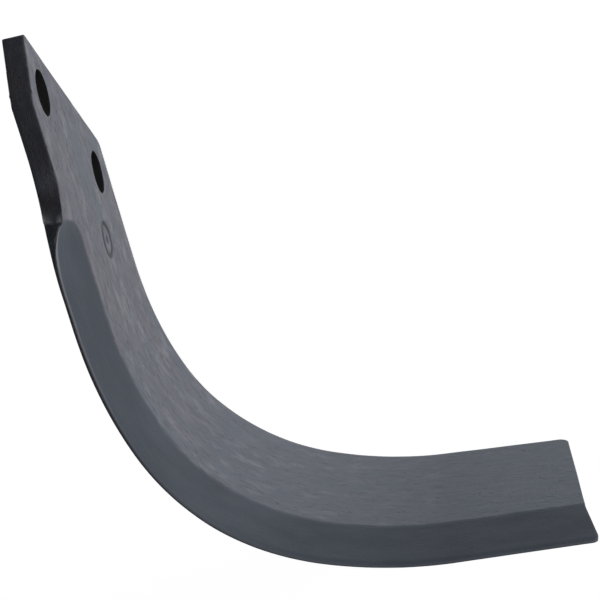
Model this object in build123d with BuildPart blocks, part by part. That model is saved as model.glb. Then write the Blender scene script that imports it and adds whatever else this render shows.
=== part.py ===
# Rotary tiller blade: one flat steel bar, forged to a bevel along its front edge and bent sideways into a wing.
# Frame: +X is the way the wing goes, +Y runs from the cutting edge to the back edge, +Z up the shank.
# The origin is midway between the two bolt holes, on the outer face, which seats on the rotor flange.
import os
from math import asin, cos, radians, sin, tan
from build123d import *

# Bar and bolt holes
bar_width = 75
bar_thickness = 7
hole_diameter = 14
hole_spacing = 60
hole_line_angle = 45

# Cuts of the shank's end, each by its angle from the bar's length and its distance from the bolt holes
front_cut_angle = 41
front_cut_distance = 13.8
top_cut_angle = 46.5
top_cut_distance = 13.9
tip_radius = 1.2
front_corner_radius = 2
back_corner_radius = 6

# Bend: its axis leans down towards the back, and the bend eases in and out of its main radius
bend_axis_lean = 10.5
ease_radius = 150
ease_angle = 16
main_radius = 89
main_angle = 45
wing_length = 47.3

# In-plane sweep of the whole bar towards the back
sweep_start = 73
sweep_radius = 280
sweep_angle = 12

# Bevel of the cutting edge, whose forging spreads the bar forwards: slowly along the outer face, sharply along
# the inner one, where the bevel rolls up out of the face; starts are measured down from the bolt pattern's centre
bevel_width = 19.5
edge_thickness = 1.3
edge_spread = 10.5
outer_spread_start = -9
outer_spread_length = 42
inner_spread_start = -1
inner_spread_length = 16
spread_to_bend = 12
bevel_full_depth = 23
run_out_radius = 17

# Wing's end: square to the wing as far as the bevel, which the forging also pushed lengthways
end_spread = 3.6
wing_front_radius = 5
wing_back_radius = 3

# Places worked out from the sizes
front_edge = -bar_width / 2
back_edge = bar_width / 2
cutting_edge = front_edge - edge_spread
crease = cutting_edge + bevel_width
bevel_depth = bar_thickness - edge_thickness
lean = radians(bend_axis_lean)
sweep_turn = radians(sweep_angle)
margin = 2 * bar_thickness

# Runs are measured down the blade from the origin, across the bend axis; the bend starts past the spread
spread_end = outer_spread_start + outer_spread_length
bend_start = (spread_end + spread_to_bend) * cos(lean) - cutting_edge * sin(lean)
first_station = bend_start - bar_thickness

# The bend is drawn in a plane across its axis: x runs down the blade, y towards the wing's side
bend_axis = Vector(0, cos(lean), -sin(lean))
side_plane = Plane((0, 0, 0), x_dir=(0, -sin(lean), -cos(lean)), z_dir=-bend_axis)

# Centre of the sweep, as a run down the blade and a distance across it along the bend axis
centre_run = sweep_start * cos(lean) - sweep_radius * sin(lean)
centre_across = sweep_radius * cos(lean) + sweep_start * sin(lean)


# How far across the bar an edge, named by its y in the shank, lies at a run down the blade
def across(run, edge):
    radius = sweep_radius - edge
    swept = min(max(run - centre_run, radius * sin(lean)), radius * sin(lean + sweep_turn))
    heading = asin(swept / radius)
    return centre_across - radius * cos(heading) + (run - centre_run - swept) * tan(heading)


# How high on the shank the first station crosses an edge
def height(edge):
    return -(first_station + edge * sin(lean)) / cos(lean)


# The shank's cut lines, each as its height over the bar's centre line and its slope
bolt_angle = radians(hole_line_angle)
front_slope = 1 / tan(radians(front_cut_angle))
top_slope = -1 / tan(radians(top_cut_angle))
front_rise = hole_spacing / 2 * (cos(bolt_angle) + sin(bolt_angle) * front_slope)
front_rise = front_rise + front_cut_distance / sin(radians(front_cut_angle))
top_rise = top_cut_distance / sin(radians(top_cut_angle))
tip = (top_rise - front_rise) / (front_slope - top_slope)
tip_height = top_rise + tip * top_slope
front_corner = front_rise + front_edge * front_slope
back_corner = top_rise + back_edge * top_slope

# Outline of one face of the shank down to the first station, with the front edge spreading over its own length
def shank_outline(face_plane, start, length):
    handle = 0.4 * length
    end = start + length
    with BuildSketch(face_plane) as outline:
        with BuildLine():
            Polyline(
                (cutting_edge, -end),
                (cutting_edge, height(cutting_edge)),
                (back_edge, height(back_edge)),
                (back_edge, back_corner),
                (tip, tip_height),
                (front_edge, front_corner),
                (front_edge, -start),
            )
            Bezier((front_edge, -start), (front_edge, -start - handle), (cutting_edge, handle - end), (cutting_edge, -end))
        make_face()
        fillet(outline.vertices().sort_by_distance((tip, tip_height))[0], tip_radius)
        fillet(outline.vertices().sort_by_distance((front_edge, front_corner))[0], front_corner_radius)
        fillet(outline.vertices().sort_by_distance((back_edge, back_corner))[0], back_corner_radius)
    return outline.sketch.face()


outer_outline = shank_outline(Plane.YZ, outer_spread_start, outer_spread_length)
inner_outline = shank_outline(Plane.YZ.offset(bar_thickness), inner_spread_start, inner_spread_length)
with BuildPart() as shank:
    loft([outer_outline, inner_outline], ruled=True)
    with BuildSketch(Plane.YZ):
        with PolarLocations(hole_spacing / 2, 2, start_angle=90 + hole_line_angle):
            Circle(hole_diameter / 2)
    extrude(amount=bar_thickness, mode=Mode.SUBTRACT)

# Bevel of the shank: its cutter lies on the bevel's own plane and rolls up out of the face at its top end
bevel_lie = Vector(-bevel_depth, -bevel_width, 0)
bevel_top = Plane((bar_thickness, crease, -bevel_full_depth), x_dir=(0, 0, -1), z_dir=bevel_lie)
with BuildPart() as shank_bevel:
    with BuildSketch(bevel_top):
        with BuildLine():
            CenterArc((0, run_out_radius), run_out_radius, 180, 90)
            Polyline(
                (0, 0),
                (bar_width, 0),
                (bar_width, 2 * run_out_radius),
                (-run_out_radius, 2 * run_out_radius),
                (-run_out_radius, run_out_radius),
            )
        make_face()
    extrude(amount=2 * bevel_width, both=True)

# Side view of the bar's inner face, past both ends of the bend and the wing
with BuildLine() as inner_face:
    straight = Line((first_station - margin, bar_thickness), (bend_start, bar_thickness))
    ease_in = JernArc(straight @ 1, (1, 0), ease_radius, ease_angle)
    main_bend = JernArc(ease_in @ 1, ease_in % 1, main_radius, main_angle)
    ease_out = JernArc(main_bend @ 1, main_bend % 1, ease_radius, ease_angle)
    Line(ease_out @ 1, ease_out @ 1 + (ease_out % 1) * (wing_length + margin))
face_line = inner_face.wire()
wing_end = face_line.length + first_station - 2 * margin
station_count = 24
station_gap = (wing_end + end_spread - first_station) / station_count


# Plane across the bar at a station: x runs along the bend axis, y towards the wing's side, from the inner face
def station(run):
    distance = run - first_station + margin
    spot = side_plane.from_local_coords(face_line.position_at(distance, PositionMode.LENGTH))
    ahead = face_line.tangent_at(distance, PositionMode.LENGTH)
    heading = side_plane.x_dir * ahead.X + side_plane.y_dir * ahead.Y
    return Plane(spot, x_dir=bend_axis, z_dir=heading)


# Outline of the bend and the wing, through the stations
with BuildPart() as wing_outline:
    for count in range(station_count + 1):
        run = first_station + count * station_gap
        with BuildSketch(station(run)):
            with BuildLine():
                Polyline(
                    (across(run, cutting_edge), margin),
                    (across(run, cutting_edge), -margin),
                    (across(run, back_edge), -margin),
                    (across(run, back_edge), margin),
                    close=True,
                )
            make_face()
    loft()

# Bevel of the bend and the wing, through the same stations and one past the end
with BuildPart() as wing_bevel:
    for count in range(station_count + 2):
        run = first_station + count * station_gap
        edge = across(run, cutting_edge)
        width = across(run, crease) - edge
        with BuildSketch(station(run)):
            with BuildLine():
                Polyline(
                    (edge - width, margin),
                    (edge - width, -2 * bevel_depth),
                    (edge + 2 * width, bevel_depth),
                    (edge + 2 * width, margin),
                    close=True,
                )
            make_face()
    loft()

# The wing's end is cut square down to the bevel, and slants outwards across the bevel
end_crease = across(wing_end, crease)
end_edge = across(wing_end + end_spread, cutting_edge)
end_plane = station(wing_end)
with BuildPart() as end_cut:
    with BuildSketch(Plane(end_plane.origin, x_dir=bend_axis, z_dir=-end_plane.y_dir)):
        with BuildLine():
            Polyline(
                (end_crease + bar_width, 0),
                (end_crease, 0),
                (end_edge, end_spread),
                (end_crease + bar_width, end_spread + margin),
                close=True,
            )
        make_face()
    extrude(amount=margin, both=True)

# The bar bent sideways, cut to the outline and bevelled
with BuildPart() as wing:
    with BuildSketch(side_plane):
        with BuildLine():
            add(inner_face.line)
            offset(amount=bar_thickness, side=Side.RIGHT)
        make_face()
    extrude(amount=2 * bar_width, both=True)
    add(wing_outline.part, mode=Mode.INTERSECT)
    add(end_cut.part, mode=Mode.SUBTRACT)
    back_end = end_plane.from_local_coords((across(wing_end, back_edge), -bar_thickness / 2))
    fillet(wing.edges().sort_by_distance(back_end)[0], wing_back_radius)
    front_end = station(wing_end + end_spread).from_local_coords((end_edge, -bar_thickness / 2))
    fillet(wing.edges().sort_by_distance(front_end)[0], wing_front_radius)
    add(wing_bevel.part, mode=Mode.SUBTRACT)

with BuildPart() as tiller_blade:
    add(shank.part)
    add(shank_bevel.part, mode=Mode.SUBTRACT)
    add(wing.part)

tiller_blade.part.label = "tiller_blade"
os.makedirs("parts", exist_ok=True)
export_step(tiller_blade.part, "parts/tiller_blade.step")
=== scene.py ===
import math
import bpy
import bmesh
from mathutils import Matrix, Vector, noise


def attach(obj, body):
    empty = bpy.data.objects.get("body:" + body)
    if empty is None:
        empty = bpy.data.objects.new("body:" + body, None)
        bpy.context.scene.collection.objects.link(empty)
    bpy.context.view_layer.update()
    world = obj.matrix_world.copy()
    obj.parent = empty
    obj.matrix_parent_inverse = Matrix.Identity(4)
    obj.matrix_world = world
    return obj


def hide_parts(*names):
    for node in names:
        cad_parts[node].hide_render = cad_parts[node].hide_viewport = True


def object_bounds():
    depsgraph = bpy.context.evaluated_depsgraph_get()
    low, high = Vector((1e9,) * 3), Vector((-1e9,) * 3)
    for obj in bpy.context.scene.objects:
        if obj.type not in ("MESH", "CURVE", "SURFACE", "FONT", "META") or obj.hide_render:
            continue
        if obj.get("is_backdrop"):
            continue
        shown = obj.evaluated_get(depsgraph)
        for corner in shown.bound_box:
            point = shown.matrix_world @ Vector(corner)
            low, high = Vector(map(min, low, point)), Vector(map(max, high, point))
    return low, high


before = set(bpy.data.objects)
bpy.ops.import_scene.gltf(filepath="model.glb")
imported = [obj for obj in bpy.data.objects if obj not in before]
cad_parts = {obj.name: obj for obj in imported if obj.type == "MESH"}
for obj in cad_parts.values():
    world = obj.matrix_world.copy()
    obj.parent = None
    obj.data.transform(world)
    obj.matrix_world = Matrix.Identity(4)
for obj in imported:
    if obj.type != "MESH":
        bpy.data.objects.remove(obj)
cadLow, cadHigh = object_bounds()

mm = 0.001
far = 999  # in millimetres, further off than any part of the bar

# The blade's sizes in millimetres and degrees; most pairs are a stretch, from its start to where it is full
blade = {
    # as the CAD solid has them
    "barWidth": 75, "thickness": 7,
    "holeDiameter": 14, "holeSpacing": 60, "holeLineAngle": 45,
    "frontCutAngle": 41, "frontCutDistance": 13.8,
    "topCutAngle": 46.5, "topCutDistance": 13.9,
    "tipRadius": 1.2, "frontCornerRadius": 2, "backCornerRadius": 6,
    "bendAxisLean": 10.5, "easeRadius": 150, "easeAngle": 16,
    "mainRadius": 89, "mainAngle": 45, "wingLength": 47.3,
    "sweepStart": 73, "sweepRadius": 280, "sweepAngle": 12,
    "bevelWidth": 19.5, "edgeThickness": 1.3, "edgeSpread": 10.5,
    "outerSpreadStart": -9, "outerSpreadLength": 42,
    "innerSpreadStart": -1, "innerSpreadLength": 16,
    "spreadHandle": 0.4,  # the length of its curve's handles, as a share of its own
    "spreadToBend": 12, "bevelFullDepth": 23, "runOutRadius": 17, "endSpread": 3.6,
    # the finish that the solid leaves out
    "wingFrontRadius": 3.8, "wingBackRadius": 2.75,  # a little sharper than the solid's
    "edgeRounding": 0.5, "rimRounding": 0.3,  # along the bar's edges, and round the bolt holes
    "edgeTurn": 0.7, "edgeTurnWidth": 1.8,  # how far the wing's cutting edge is hammered under
    "edgeTurnStretch": (60, 130),  # and where that is, down the blade
    "rolling": 0.10, "rollingLength": 26,  # how deep and how long the forging's waves are
    "rippleDepth": 0.4, "rippleLength": 0.3,  # the shorter waves on them, as shares of those
    # the front edge that the hammer tore at the bevel's start: a burr down to the ledge, then a hollow
    "burrStart": 7, "ledge": 11.2, "ledgeDrop": 0.9, "hollowFade": 2, "hollowEnd": 17.5,
    "burr": 1.6, "hollow": 1.4, "tornBand": (2.6, 0.6),  # behind the cutting edge
    "burrRise": (-2.5, 4), "burrFold": 4.4, "burrFoldBack": 1.15,  # through the thickness
    "hollowFoot": (0.2, 2), "hollowHead": (0, 1.4),
    # a punched ring and dot
    "markAcross": 4.8, "markDown": 38.8, "markRadius": 5.4, "markGroove": 1.2, "markDot": 1.56,
    "markDepth": 0.5, "markSteepness": 1.7,
    # where the scale is rubbed bright, and where highlights are painted on the cutting edge and the burr
    "rimWear": 0.3, "rimSlope": 0.6, "rimSlopeReach": 0.4,  # the rounded edges, by their normals
    "rubAndHighlightBand": (0.8, 0.3), "rubAndHighlightStretch": (110, 20), "rubAndHighlightDepth": (0.3, 2),  # the cutting edge's upper side, worn bright and with a painted highlight
    "lip": 0.9, "lipStretch": (30, 16),  # by how much that band widens towards the torn hollow
    "burrHighlight": (3.5, 1), "burrHighlightRise": (2.5, 6.5),  # a painted glint on the burr, above the ledge and through the thickness
    "bevelFade": (0.15, 0.5), "bevelFadeStretch": (10, 30),  # the depth over which the bevel's scale begins
    # how it is cut to shape, from two places across the blade on each line of the shank's cuts, and meshed;
    # the front cut has three lines, one for each strip of the bar
    "frontCutPlaces": ((-20, -27), (-30, -34), (-35, -37)), "topCutPlaces": (30, 0),
    "stiffStrip": 3, "pullGap": 1.2,  # strips at both sides of the bevel that the spread doesn't stretch
    "blankTop": -70, "blankSpare": 8,  # the uncut bar's ends
    "cornerSteps": 8, "touch": 0.01, "holeSegments": 64, "roundingSegments": 3,
    "sharpAngle": 40, "rimReach": 1.4,
    "cell": 1.0, "notchCell": 0.5, "bevelCell": 0.75, "markCell": 0.4,  # spacing of the mesh lines
    "throughLines": (1.6, 2.5, 3.4, 4.3, 5.1, 5.8), "linesStart": -35, "notchStart": 2, "markReach": 7,
    "edgeGap": 0.9, "creaseGap": 0.35, "rimGap": 1.2,  # how far the lines keep off the edges and the crease
}

lean = math.radians(blade["bendAxisLean"])
thick = blade["thickness"]
frontEdge = -blade["barWidth"] / 2
backEdge = blade["barWidth"] / 2
cuttingEdge = frontEdge - blade["edgeSpread"]
crease = cuttingEdge + blade["bevelWidth"]
bevelDepth = thick - blade["edgeThickness"]
spreadEnd = blade["outerSpreadStart"] + blade["outerSpreadLength"]
bendStart = (spreadEnd + blade["spreadToBend"]) * math.cos(lean) - cuttingEdge * math.sin(lean)
bends = [
    (blade["easeRadius"], math.radians(blade["easeAngle"])),
    (blade["mainRadius"], math.radians(blade["mainAngle"])),
    (blade["easeRadius"], math.radians(blade["easeAngle"])),
]
wingEnd = bendStart + sum(radius * turn for radius, turn in bends) + blade["wingLength"]
stiffRow = cuttingEdge + blade["stiffStrip"]
pullRow = crease - blade["pullGap"]
sweepRun = blade["sweepStart"] * math.cos(lean) - blade["sweepRadius"] * math.sin(lean)
sweepAcross = blade["sweepRadius"] * math.cos(lean) + blade["sweepStart"] * math.sin(lean)


# The bar is modelled straight, with x across it, y down its length and z through it, and is then swept and
# bent. This is how far across an edge lies once it is swept, at a run down the blade
def acrossAt(run, edge):
    radius = blade["sweepRadius"] - edge
    lastSweep = radius * math.sin(lean + math.radians(blade["sweepAngle"]))
    swept = min(max(run - sweepRun, radius * math.sin(lean)), lastSweep)
    heading = math.asin(swept / radius)
    return sweepAcross - radius * math.cos(heading) + (run - sweepRun - swept) * math.tan(heading)


def edgeAt(run, across):  # the reverse of that, which closes in on the edge by steps
    edge = across
    for step in range(12):
        edge += 0.9 * (across - acrossAt(run, edge))
    return edge


# Where a point lies once the bar is bent: along the three arcs of the bend, and straight on past them
def bentPlace(run, across, height):
    down, out, heading, left = bendStart, thick, 0.0, run - bendStart
    for radius, turn in bends:
        if left > 0:
            turned = min(turn, left / radius)
            down += radius * (math.sin(heading + turned) - math.sin(heading))
            out += radius * (math.cos(heading) - math.cos(heading + turned))
            heading += turned
            left -= radius * turned
            if turned < turn:
                left = 0
    down += left * math.cos(heading) - (height - thick) * math.sin(heading)
    out += left * math.sin(heading) + (height - thick) * math.cos(heading)
    return Vector((
        out,
        -down * math.sin(lean) + across * math.cos(lean),
        -down * math.cos(lean) - across * math.sin(lean),
    ))


def smoothStep(value, low, high):
    share = min(max((value - low) / (high - low), 0), 1)  # low may be above high, for a fall
    return share * share * (3 - 2 * share)


# How far the forging has pushed the front edge forwards, down from the shank: 0 is the plain bar, 1 the full
# spread. The place on its curve is found by halving
def spreadShare(down, start, length):
    share = min(max((down - start) / length, 0), 1)
    handle = blade["spreadHandle"]
    low, high = 0.0, 1.0
    for step in range(18):
        middle = (low + high) / 2
        along = 3 * middle * (1 - middle) ** 2 * handle + 3 * middle ** 2 * (1 - middle) * (1 - handle)
        if along + middle ** 3 < share:
            low = middle
        else:
            high = middle
    return 3 * low ** 2 * (1 - low) + low ** 3


# The height of the bevel's face, or of the bar's own where the bevel hasn't begun
def bevelFloor(y, down):
    floor = thick - bevelDepth * (crease - y) / blade["bevelWidth"]
    short = blade["bevelFullDepth"] - down
    if short > blade["runOutRadius"]:
        return thick
    if short > 0:
        floor += blade["runOutRadius"] - math.sqrt(blade["runOutRadius"] ** 2 - short ** 2)
    return min(floor, thick)


# Where a point of the straight bar lies on the forged one: x is pulled back by the spread that the shank
# lacks, and z is pressed down by the bevel. They depend on each other, so each round comes closer
def forgedPlace(x, run, z):
    if x >= crease:
        return x, z
    pull = min(max((pullRow - x) / (pullRow - stiffRow), 0), 1)
    y, height = x, z
    for step in range(5):
        down = (run + y * math.sin(lean)) / math.cos(lean)
        if pull and down < spreadEnd:
            outer = spreadShare(down, blade["outerSpreadStart"], blade["outerSpreadLength"])
            inner = spreadShare(down, blade["innerSpreadStart"], blade["innerSpreadLength"])
            y = x + pull * blade["edgeSpread"] * (1 - outer + (outer - inner) * height / thick)
        floor = bevelFloor(y, down)
        under = min(max(1 - (y - cuttingEdge) / blade["edgeTurnWidth"], 0), 1)
        floor -= blade["edgeTurn"] * under ** 2 * smoothStep(down, *blade["edgeTurnStretch"])
        nose = min(blade["edgeRounding"], floor / 2)  # the rounded edge takes at most half of it
        if z > thick - blade["edgeRounding"]:
            height = floor - nose * (thick - z) / blade["edgeRounding"]
        else:
            height = z * (floor - nose) / (thick - blade["edgeRounding"])
    return y, height


def straightEdge(y):  # the reverse of that for the shank's end, above the spread and the bevel
    stiff = stiffRow + blade["edgeSpread"]
    if y <= stiff:
        return y - blade["edgeSpread"]
    return y if y >= pullRow else pullRow - (pullRow - y) * (pullRow - stiffRow) / (pullRow - stiff)


# Cuts these faces along a plane, and gives the ones beyond it, on the side that the normal points to
def cutFaces(bm, faces, place, normal, snap):
    parts = set(faces)
    for face in faces:
        parts.update(face.edges)
        parts.update(face.verts)
    cut = bmesh.ops.bisect_plane(bm, geom=list(parts), dist=snap, plane_co=place, plane_no=normal)
    return [
        part for part in cut["geom"]
        if isinstance(part, bmesh.types.BMFace) and (part.calc_center_median() - place).dot(normal) > 0
    ]


# A cut of the straight bar along the line through two points, within a strip from one x to another, which
# keeps the side of the bar's middle
def cutLine(bm, first, second, strip):
    place = Vector((first[0], first[1], 0))
    normal = Vector((first[1] - second[1], second[0] - first[0], 0))
    if normal.dot(barMiddle - place) > 0:
        normal = -normal
    chosen = [face for face in bm.faces if strip[0] < face.calc_center_median().x < strip[1]]
    bmesh.ops.delete(bm, geom=cutFaces(bm, chosen, place, normal, 1e-5), context="FACES")


# A rounded corner, as cuts that touch its arc, between two lines whose outward normals have these angles
def roundCorner(bm, corner, startAngle, endAngle, radius, toBar, strip):
    half = (endAngle - startAngle) / 2
    middle = (startAngle + endAngle) / 2
    centre = corner - Vector((math.cos(middle), math.sin(middle))) * radius / math.cos(half)
    for step in range(1, blade["cornerSteps"]):
        angle = startAngle + (endAngle - startAngle) * step / blade["cornerSteps"]
        outward = Vector((math.cos(angle), math.sin(angle)))
        along = Vector((outward.y, -outward.x)) * blade["touch"]
        touch = centre + outward * radius
        cutLine(bm, toBar(touch + along), toBar(touch - along), strip)


def shankToBar(point):  # point is (y, how far down) on the shank
    return (straightEdge(point[0]), point[1] * math.cos(lean) - point[0] * math.sin(lean))


def wingToBar(point):  # point is (across, run) on the flat wing
    return (edgeAt(point[1], point[0]), point[1])


boltAngle = math.radians(blade["holeLineAngle"])
holeOut = blade["holeSpacing"] / 2 * math.sin(boltAngle)
frontCut = math.radians(blade["frontCutAngle"])
topCut = math.radians(blade["topCutAngle"])
frontRise = blade["holeSpacing"] / 2 * (math.cos(boltAngle) + math.sin(boltAngle) / math.tan(frontCut))
frontRise += blade["frontCutDistance"] / math.sin(frontCut)
topRise = blade["topCutDistance"] / math.sin(topCut)
tipY = (topRise - frontRise) / (1 / math.tan(frontCut) + 1 / math.tan(topCut))


def onFrontCut(y):
    return Vector((y, -frontRise - y / math.tan(frontCut)))


def onTopCut(y):
    return Vector((y, -topRise + y / math.tan(topCut)))


# The uncut bar, in three strips that the spread moves by different amounts
barMiddle = Vector((0, 100, 0))
backStrip, spreadStrip, frontStrip = (pullRow, far), (stiffRow, pullRow), (-far, stiffRow)
bevelStrip = (-far, pullRow)
rows = [cuttingEdge, stiffRow, pullRow, backEdge]
bm = bmesh.new()
bmesh.ops.create_grid(bm, x_segments=3, y_segments=1, size=1)
for vert in bm.verts:
    vert.co.x = rows[round((vert.co.x + 1) / 2 * 3)]
    vert.co.y = blade["blankTop"] if vert.co.y < 0 else wingEnd + blade["blankSpare"]

# The shank's end, where y runs towards the back edge and the second number down the blade
frontNormal = -math.pi + frontCut
topNormal = -topCut
for (inner, outer), strip in zip(blade["frontCutPlaces"], (backStrip, spreadStrip, frontStrip)):
    cutLine(bm, shankToBar(onFrontCut(inner)), shankToBar(onFrontCut(outer)), strip)
outer, inner = blade["topCutPlaces"]
cutLine(bm, shankToBar(onTopCut(outer)), shankToBar(onTopCut(inner)), backStrip)
for corner, startAngle, endAngle, radius, strip in (
    (onFrontCut(tipY), frontNormal, topNormal, blade["tipRadius"], backStrip),
    (onTopCut(backEdge), topNormal, 0, blade["backCornerRadius"], backStrip),
    (onFrontCut(frontEdge), -math.pi, frontNormal, blade["frontCornerRadius"], frontStrip),
):
    roundCorner(bm, corner, startAngle, endAngle, radius, shankToBar, strip)

# The wing's end, on the flat bar: x across the blade and y its run, and the edges head off by the sweep
wingHeading = lean + math.radians(blade["sweepAngle"])
endCrease = Vector((acrossAt(wingEnd, pullRow), wingEnd))
endEdge = Vector((acrossAt(wingEnd + blade["endSpread"], cuttingEdge), wingEnd + blade["endSpread"]))
endBack = Vector((acrossAt(wingEnd, backEdge), wingEnd))
slant = endEdge - endCrease
slantNormal = math.atan2(-slant.x, slant.y)
cutLine(bm, (0, wingEnd), (10, wingEnd), backStrip)
cutLine(bm, wingToBar(endEdge), wingToBar(endCrease), bevelStrip)
roundCorner(bm, endBack, -wingHeading, math.pi / 2, blade["wingBackRadius"], wingToBar, backStrip)
roundCorner(bm, endEdge, slantNormal, math.pi - wingHeading, blade["wingFrontRadius"], wingToBar, bevelStrip)
print("outline cut:", len(bm.verts), "points")

# The bar gets its thickness and bolt holes, and its rolled edges are rounded
upper = bmesh.ops.extrude_face_region(bm, geom=bm.faces[:])
raised = [part for part in upper["geom"] if isinstance(part, bmesh.types.BMVert)]
bmesh.ops.translate(bm, verts=raised, vec=(0, 0, thick))
bmesh.ops.recalc_face_normals(bm, faces=bm.faces[:])
bar = bpy.data.objects.new("tillerBlade", bpy.data.meshes.new("tillerBlade"))
bpy.context.scene.collection.objects.link(bar)
bm.to_mesh(bar.data)
bm.free()

drill = bmesh.new()
for side in (-1, 1):
    middle = Vector((math.sin(boltAngle), math.cos(boltAngle), 0)) * side * blade["holeSpacing"] / 2
    bmesh.ops.create_cone(
        drill, cap_ends=True, segments=blade["holeSegments"], radius1=blade["holeDiameter"] / 2,
        radius2=blade["holeDiameter"] / 2, depth=4 * thick, matrix=Matrix.Translation(middle))
for vert in drill.verts:  # from how far down the blade to the bar's run
    vert.co.y = vert.co.y * math.cos(lean) - vert.co.x * math.sin(lean)
drillObject = bpy.data.objects.new("drill", bpy.data.meshes.new("drill"))
bpy.context.scene.collection.objects.link(drillObject)
drill.to_mesh(drillObject.data)
drill.free()
holes = bar.modifiers.new("holes", "BOOLEAN")
holes.operation = "DIFFERENCE"
holes.solver = "EXACT"
holes.object = drillObject
drilled = bpy.data.meshes.new_from_object(bar.evaluated_get(bpy.context.evaluated_depsgraph_get()))
bar.modifiers.clear()
bpy.data.objects.remove(drillObject)

bm = bmesh.new()
bm.from_mesh(drilled)


def holeDistance(x, down):  # from the middle of the nearer bolt hole
    return min(math.hypot(x - side * holeOut, down - side * holeOut) for side in (-1, 1))


# The sharp edges of both faces: those round the rims of the bolt holes, or all the others
def sharpEdges(bm, nearHole):
    found = []
    reach = blade["holeDiameter"] / 2 + blade["rimReach"]
    for edge in bm.edges:
        heights = {round(vert.co.z, 3) for vert in edge.verts}
        sharp = edge.calc_face_angle(0) > math.radians(blade["sharpAngle"])
        if heights in ({0.0}, {float(thick)}) and sharp:
            middle = (edge.verts[0].co + edge.verts[1].co) / 2
            down = (middle.y + middle.x * math.sin(lean)) / math.cos(lean)
            if (holeDistance(middle.x, down) < reach) == nearHole:
                found.append(edge)
    return found


for nearHole, rounding in ((False, blade["edgeRounding"]), (True, blade["rimRounding"])):
    bmesh.ops.bevel(
        bm, geom=sharpEdges(bm, nearHole), offset=rounding, offset_type="OFFSET",
        segments=blade["roundingSegments"], profile=0.5, affect="EDGES", material=-1, clamp_overlap=False)
print("edges rounded:", len(bm.faces), "faces")


# Mesh lines across, along or through the bar, so that it can be bent; each cut leaves what lies before it
def sliceBar(bm, places, axis):
    direction = Vector([1 if index == axis else 0 for index in range(3)])
    ahead = bm.faces[:]
    for place in places:
        ahead = cutFaces(bm, ahead, direction * place, direction, 1e-4)


def spread(start, end, gap):  # even places from start up to end, without end itself
    count = max(round((end - start) / gap), 1)
    return [start + (end - start) * index / count for index in range(count)]


cell, markCell, rimGap = blade["cell"], blade["markCell"], blade["rimGap"]
beforeCrease, pastCrease = crease - blade["creaseGap"], crease + blade["creaseGap"]
markFront, markBack = blade["markAcross"] - blade["markReach"], blade["markAcross"] + blade["markReach"]
markRun = blade["markDown"] * math.cos(lean) - blade["markAcross"] * math.sin(lean)
markStart, markEnd = markRun - blade["markReach"], markRun + blade["markReach"]
sliceBar(bm, blade["throughLines"], 2)
sliceBar(
    bm, spread(cuttingEdge + blade["edgeGap"], beforeCrease, blade["bevelCell"])
    + [beforeCrease, crease, pastCrease] + spread(crease + rimGap, markFront, cell)
    + spread(markFront, markBack, markCell) + spread(markBack, backEdge - rimGap, cell), 0)
sliceBar(
    bm, spread(blade["linesStart"], blade["notchStart"], cell)
    + spread(blade["notchStart"], markStart, blade["notchCell"]) + spread(markStart, markEnd, markCell)
    + spread(markEnd, wingEnd + blade["endSpread"] - rimGap, cell), 1)
print("bar meshed:", len(bm.faces), "faces")


# The hammer left a burr above the bevel's start and a torn hollow below it, on the front edge
def forgingBurr(x, z, down):
    near = smoothStep(x - cuttingEdge, *blade["tornBand"])
    if not near or down < blade["burrStart"] or down > blade["hollowEnd"]:
        return 0
    ledge = blade["ledge"]
    outwards = blade["burr"] * smoothStep(down, blade["burrStart"], ledge) * smoothStep(z, *blade["burrRise"])
    outwards *= 1 - blade["burrFoldBack"] * smoothStep(z, blade["burrFold"], thick)  # rounds its inner corner
    inwards = blade["hollow"] * (1 - smoothStep(down, ledge + blade["hollowFade"], blade["hollowEnd"]))
    inwards *= smoothStep(z, *blade["hollowFoot"]) * smoothStep(thick - z, *blade["hollowHead"])
    step = smoothStep(down, ledge, ledge + blade["ledgeDrop"])
    return near * (inwards * step - outwards * (1 - step))


# The punched mark: a plain ring with a dot in its middle
def markSink(x, down):
    away = math.hypot(x - blade["markAcross"], down - blade["markDown"])
    ring = max(0, 1 - abs(away - blade["markRadius"]) / blade["markGroove"])
    dot = max(0, 1 - away / blade["markDot"])
    return min(1, blade["markSteepness"] * max(ring, dot))


# How far the dark scale is rubbed off, with painted highlights: a little wear along the rounded edges, worn
# steel and a painted highlight on the cutting edge's upper side, and a painted glint on the burr
def rubbedAndHighlightShare(x, y, z, down, slope):
    rubAndHighlight = blade["rimWear"] * max(0, 1 - abs(slope - blade["rimSlope"]) / blade["rimSlopeReach"])
    if z > thick * 0.8 and y < crease:
        lip = blade["lip"] * smoothStep(down, *blade["lipStretch"])
        begin, full = blade["rubAndHighlightBand"]
        band = smoothStep(x - cuttingEdge, begin + lip, full + lip)
        sunk = smoothStep(thick - bevelFloor(y, down), *blade["rubAndHighlightDepth"])
        rubAndHighlight = max(rubAndHighlight, smoothStep(down, *blade["rubAndHighlightStretch"]) * band * sunk)
    begin, full = (blade["ledge"] - above for above in blade["burrHighlight"])
    if x < stiffRow and z < thick and begin < down < blade["ledge"]:
        rubAndHighlight = max(rubAndHighlight, smoothStep(down, begin, full) * smoothStep(z, *blade["burrHighlightRise"]))
    return rubAndHighlight


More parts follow.
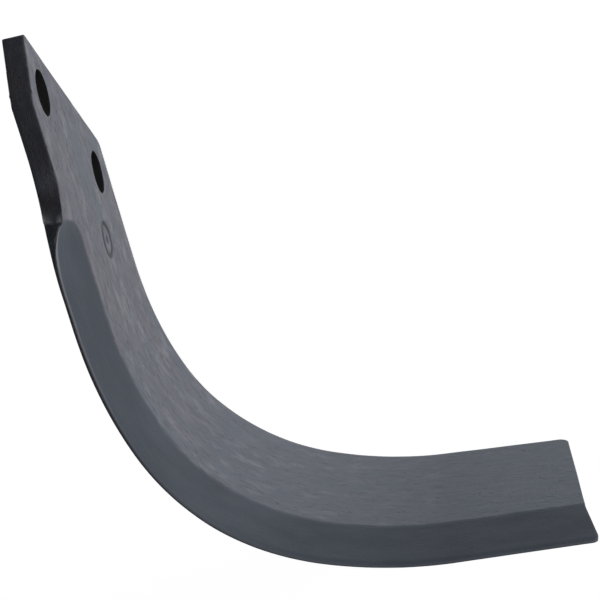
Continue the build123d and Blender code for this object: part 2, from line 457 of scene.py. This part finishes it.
# The bar is forged and bent to shape, and keeps where each point was on the straight bar for its material
bm.normal_update()
barPlace = bm.verts.layers.float_vector.new("barPlace")
wearAndHighlight = bm.verts.layers.float.new("wearAndHighlight")
ground = bm.verts.layers.float.new("ground")
paintedBoreShade = bm.verts.layers.float.new("paintedBoreShade")
mark = bm.verts.layers.float.new("mark")
sharpFade, softFade = blade["bevelFade"]
for vert in bm.verts:
    x, run, z = vert.co
    y, height = forgedPlace(x, run, z)
    down = (run + y * math.sin(lean)) / math.cos(lean)
    inHole = holeDistance(x, down) < blade["holeDiameter"] / 2 + 0.1
    # the walls of the bolt holes, which get a near-black colour as painted shade
    vert[paintedBoreShade] = 1 if inHole else 0
    # worn steel along the edges, with a painted highlight on the cutting edge and a painted glint on the burr
    vert[wearAndHighlight] = 0 if inHole else rubbedAndHighlightShare(x, y, z, down, abs(vert.normal.z))
    fade = sharpFade + (softFade - sharpFade) * smoothStep(down, *blade["bevelFadeStretch"])
    vert[ground] = smoothStep(thick - bevelFloor(y, down), 0, fade) * (z > thick / 2)
    if z > thick - 0.01:  # on the inner face
        vert[mark] = markSink(x, down)
        height -= vert[mark] * blade["markDepth"]
    vert[barPlace] = Vector((y, run, height)) * mm
    y += forgingBurr(x, z, down)
    vert.co = bentPlace(run, acrossAt(run, y), height)
bmesh.ops.reverse_faces(bm, faces=bm.faces[:])  # because the bend's axes mirror the straight bar's
bm.normal_update()

# Slow waves that the rolling and forging left, let in by their own depth to stay within the solid's box
for vert in bm.verts:
    wave = noise.noise(vert.co / blade["rollingLength"])
    wave += noise.noise(vert.co / (blade["rollingLength"] * blade["rippleLength"])) * blade["rippleDepth"]
    vert.co += vert.normal * (wave - 1) * blade["rolling"]
bmesh.ops.scale(bm, verts=bm.verts[:], vec=(mm, mm, mm))
for face in bm.faces:
    face.smooth = True
bm.to_mesh(bar.data)
bm.free()
bar.data.update()
print("blade bent:", len(bar.data.vertices), "points")


def linear(hexColour):
    channels = [int(hexColour[index:index + 2], 16) / 255 for index in (0, 2, 4)]
    return tuple(c / 12.92 if c <= 0.04045 else ((c + 0.055) / 1.055) ** 2.4 for c in channels) + (1,)


# Adds a node with its settings; an input is a value, or another node's output to link
def addNode(tree, kind, inputs=None, **settings):
    node = tree.nodes.new(kind)
    for name, value in settings.items():
        setattr(node, name, value)
    for name, value in (inputs or {}).items():
        if isinstance(value, bpy.types.NodeSocket):
            tree.links.new(value, node.inputs[name])
        else:
            node.inputs[name].default_value = value
    return node


def newMaterial(name):
    material = bpy.data.materials.new(name)
    material.use_nodes = True
    material.node_tree.nodes.clear()
    return material, material.node_tree


# Spring steel with the scale of its forging: a thin dark oxide, purple-grey and dull, streaked along the bar
# by the rolls, and darker, bluer and smoother where the hammer drew out the bevel
millScale = {
    "face": "787680", "blue": "6A727D", "dark": "55565F", "light": "8C8D94", "pit": "3A393F",
    # the bore colour is painted shade inside the bolt holes
    # the wing colour is bluer scale, darkened as painted shade
    # the worn colour is worn steel, and a painted highlight on the cutting edge and the burr
    "bevel": "444C57", "bevelLight": "505863", "wing": "5C6878", "wornAndHighlight": "9A9BA2", "paintedBoreShade": "060607",
    "bendBlueAndShade": (70, 215),  # millimetres down the bar over which the scale turns bluer, and darker as painted shade
    "roughness": 0.62, "bevelRoughness": 0.58, "gloss": 0.2,
    # each pattern's width and length in millimetres, the share of the noise where it begins and where it is
    # full, and its detail
    "patterns": {
        "streaks": (2.2, 9, 0.3, 0.7, 4),
        "tint": (10, 34, 0.38, 0.62, 3),
        "smudges": (3, 5.5, 0.46, 0.66, 3),
        "gleams": (5, 11, 0.5, 0.7, 3),
        "grain": (0.6, 1, 0.2, 0.8, 2),
        "nicks": (1.1, 3.2, 0.64, 0.72, 1),
    },
    # what is laid over the first colour: a pattern or a mask, how much of it shows, and its colour
    "faceLayers": (
        ("tint", 1, "blue"), ("streaks", 0.4, "dark"), ("gleams", 0.9, "light"),
        ("smudges", 0.6, "dark"), ("nicks", 0.6, "pit"), ("wingward", 0.65, "wing")),
    "bevelLayers": (("tint", 1, "bevelLight"), ("streaks", 0.12, "dark")),
    "lastLayers": (("wearAndHighlight", 0.9, "wornAndHighlight"), ("mark", 1, "pit"), ("paintedBoreShade", 1, "paintedBoreShade")),
    # how strongly a pattern shows as relief, and how deep it is in millimetres
    "relief": {"grain": (0.35, 0.15), "streaks": (0.3, 0.2), "nicks": (0.5, 0.2)},
}

steel, tree = newMaterial("forgedSpringSteelMillScale")
shares = {
    name: addNode(tree, "ShaderNodeAttribute", attribute_name=name, attribute_type="GEOMETRY").outputs["Fac"]
    for name in ("ground", "wearAndHighlight", "paintedBoreShade", "mark")
}
place = addNode(
    tree, "ShaderNodeAttribute", attribute_name="barPlace", attribute_type="GEOMETRY").outputs["Vector"]
for name, (width, length, low, high, detail) in millScale["patterns"].items():
    scaled = addNode(tree, "ShaderNodeMapping", {  # the location gives each pattern its own part of the noise
        "Vector": place, "Location": (width, length, 3),
        "Scale": (1 / width / mm, 1 / length / mm, 1 / width / mm)})
    speckle = addNode(tree, "ShaderNodeTexNoise", {
        "Vector": scaled.outputs["Vector"], "Scale": 1, "Detail": detail, "Roughness": 0.6})
    shares[name] = addNode(tree, "ShaderNodeMapRange", {
        "Value": speckle.outputs["Fac"], "From Min": low, "From Max": high}).outputs["Result"]
downBar = addNode(tree, "ShaderNodeSeparateXYZ", {"Vector": place}).outputs["Y"]
# how far towards the wing, where the colour turns bluer and is darkened as painted shade
wingwardStart, wingwardEnd = (down * mm for down in millScale["bendBlueAndShade"])
shares["wingward"] = addNode(tree, "ShaderNodeMapRange", {
    "Value": downBar, "From Min": wingwardStart, "From Max": wingwardEnd}).outputs["Result"]


# Inputs 0, 6 and 7 of a colour Mix are its share and its two colours, and output 2 is their mixture
def paintOver(colour, layers):
    for name, amount, paint in layers:
        shown = addNode(tree, "ShaderNodeMath", {0: shares[name], 1: amount}, operation="MULTIPLY").outputs[0]
        colour = addNode(tree, "ShaderNodeMix", {
            0: shown, 6: colour, 7: linear(millScale[paint])}, data_type="RGBA").outputs[2]
    return colour


faceColour = paintOver(linear(millScale["face"]), millScale["faceLayers"])
bevelColour = paintOver(linear(millScale["bevel"]), millScale["bevelLayers"])
colour = addNode(tree, "ShaderNodeMix", {
    0: shares["ground"], 6: faceColour, 7: bevelColour}, data_type="RGBA").outputs[2]
colour = paintOver(colour, millScale["lastLayers"])
rough = addNode(tree, "ShaderNodeMapRange", {
    "Value": shares["ground"], "To Min": millScale["roughness"],
    "To Max": millScale["bevelRoughness"]}).outputs["Result"]

# The grain is everywhere, and the streaks and nicks are only where the hammer left the bar's own face
strength, depth = millScale["relief"]["grain"]
bump = addNode(tree, "ShaderNodeBump", {
    "Height": shares["grain"], "Strength": strength, "Distance": depth * mm})
plain = addNode(tree, "ShaderNodeMath", {0: 1, 1: shares["ground"]}, operation="SUBTRACT").outputs[0]
for name in ("streaks", "nicks"):
    strength, depth = millScale["relief"][name]
    height = addNode(tree, "ShaderNodeMath", {0: shares[name], 1: plain}, operation="MULTIPLY").outputs[0]
    bump = addNode(tree, "ShaderNodeBump", {
        "Height": height, "Strength": strength, "Distance": depth * mm, "Normal": bump.outputs["Normal"]},
        invert=name == "nicks")
shader = addNode(tree, "ShaderNodeBsdfPrincipled", {
    "Base Color": colour, "Roughness": rough, "Metallic": 0, "IOR": 1.5,
    "Specular IOR Level": millScale["gloss"], "Normal": bump.outputs["Normal"]})
addNode(tree, "ShaderNodeOutputMaterial", {"Surface": shader.outputs["BSDF"]})
bar.data.materials.append(steel)
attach(bar, "root")
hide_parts("tiller_blade")
print("material ready")

# The floor, lamps and camera, in millimetres and watts
studio = {
    "floorReach": 4000, "floorGap": 0.5,  # from the middle to each side, and below the blade
    "floorGlow": 0.95, "floorShade": "B4B4B4",  # its own light, and the shade that takes the shadow
    "bounce": "303030", "room": 0.01,  # what the floor and the room give back to the blade
    # each softbox's place and power: the main one, two weak ones beside it, and one for the outer face
    "softboxes": [
        ((2497, 0, 131), 36), ((646, 2411, 131), 6.8), ((1912, -1605, 131), 1.2), ((-2165, 1250, 131), 25)],
    "softboxWidth": 1400, "softboxHeight": 500, "lampAim": (50, 0, -80),
    "cameraPlace": (127.23, -555.28, 175.49), "lens": 113.06, "sensorWidth": 36,
    "cameraAlong": (-0.10517, 0.90847, -0.40451), "cameraRight": (0.97227, 0.0085, -0.23369),
}


# 1 for the camera and in the steel's dull sheen, and 0 for the light that bounces
def whiteRays(tree):
    path = addNode(tree, "ShaderNodeLightPath")
    rays = {0: path.outputs["Is Camera Ray"], 1: path.outputs["Is Glossy Ray"]}
    return addNode(tree, "ShaderNodeMath", rays, operation="MAXIMUM").outputs[0]


floorMesh = bmesh.new()
bmesh.ops.create_grid(floorMesh, x_segments=1, y_segments=1, size=studio["floorReach"] * mm)
bmesh.ops.translate(floorMesh, verts=floorMesh.verts[:], vec=(0, 0, cadLow.z - studio["floorGap"] * mm))
floor = bpy.data.objects.new("floor", bpy.data.meshes.new("floor"))
bpy.context.scene.collection.objects.link(floor)
floorMesh.to_mesh(floor.data)
floorMesh.free()

# White painted studio floor: even, with a faint shadow, and dim to the light that bounces, so that it throws
# little of it up
paint, tree = newMaterial("whiteStudioFloor")
lit = addNode(tree, "ShaderNodeBsdfDiffuse", {"Color": linear(studio["floorShade"])})
glow = addNode(tree, "ShaderNodeEmission", {"Color": (1, 1, 1, 1), "Strength": studio["floorGlow"]})
seen = addNode(tree, "ShaderNodeAddShader", {0: lit.outputs[0], 1: glow.outputs[0]})
dim = addNode(tree, "ShaderNodeBsdfDiffuse", {"Color": linear(studio["bounce"])})
both = addNode(tree, "ShaderNodeMixShader", {0: whiteRays(tree), 1: dim.outputs[0], 2: seen.outputs[0]})
addNode(tree, "ShaderNodeOutputMaterial", {"Surface": both.outputs[0]})
floor.data.materials.append(paint)
floor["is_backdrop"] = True

# The room: white where it is seen, and nearly dark otherwise, so that the softboxes light the blade
world = bpy.data.worlds.new("studio")
bpy.context.scene.world = world
world.use_nodes = True
world.node_tree.nodes.clear()
strength = addNode(world.node_tree, "ShaderNodeMapRange", {
    "Value": whiteRays(world.node_tree), "To Min": studio["room"], "To Max": 1})
sky = addNode(world.node_tree, "ShaderNodeBackground", {
    "Color": (1, 1, 1, 1), "Strength": strength.outputs[0]})
addNode(world.node_tree, "ShaderNodeOutputWorld", {"Surface": sky.outputs[0]})

for lampPlace, watts in studio["softboxes"]:
    lamp = bpy.data.lights.new("softbox", "AREA")
    lamp.shape = "RECTANGLE"
    lamp.size = studio["softboxWidth"] * mm
    lamp.size_y = studio["softboxHeight"] * mm
    lamp.energy = watts
    lampObject = bpy.data.objects.new("softbox", lamp)
    bpy.context.scene.collection.objects.link(lampObject)
    lampObject.location = Vector(lampPlace) * mm
    aim = Vector(studio["lampAim"]) * mm - lampObject.location
    lampObject.rotation_euler = aim.to_track_quat("-Z", "Y").to_euler()
    lampObject.visible_camera = False

camera = bpy.data.cameras.new("camera")
camera.lens = studio["lens"]
camera.sensor_width = studio["sensorWidth"]
cameraObject = bpy.data.objects.new("camera", camera)
bpy.context.scene.collection.objects.link(cameraObject)
cameraRight = Vector(studio["cameraRight"]).normalized()
cameraBack = -Vector(studio["cameraAlong"]).normalized()
cameraUp = cameraBack.cross(cameraRight).normalized()
cameraRight = cameraUp.cross(cameraBack)
turn = Matrix((cameraRight, cameraUp, cameraBack)).transposed().to_4x4()
cameraObject.matrix_world = Matrix.Translation(Vector(studio["cameraPlace"]) * mm) @ turn
bpy.context.scene.camera = cameraObject
bpy.context.scene.view_settings.view_transform = "Standard"

low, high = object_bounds()
print("scene ready")
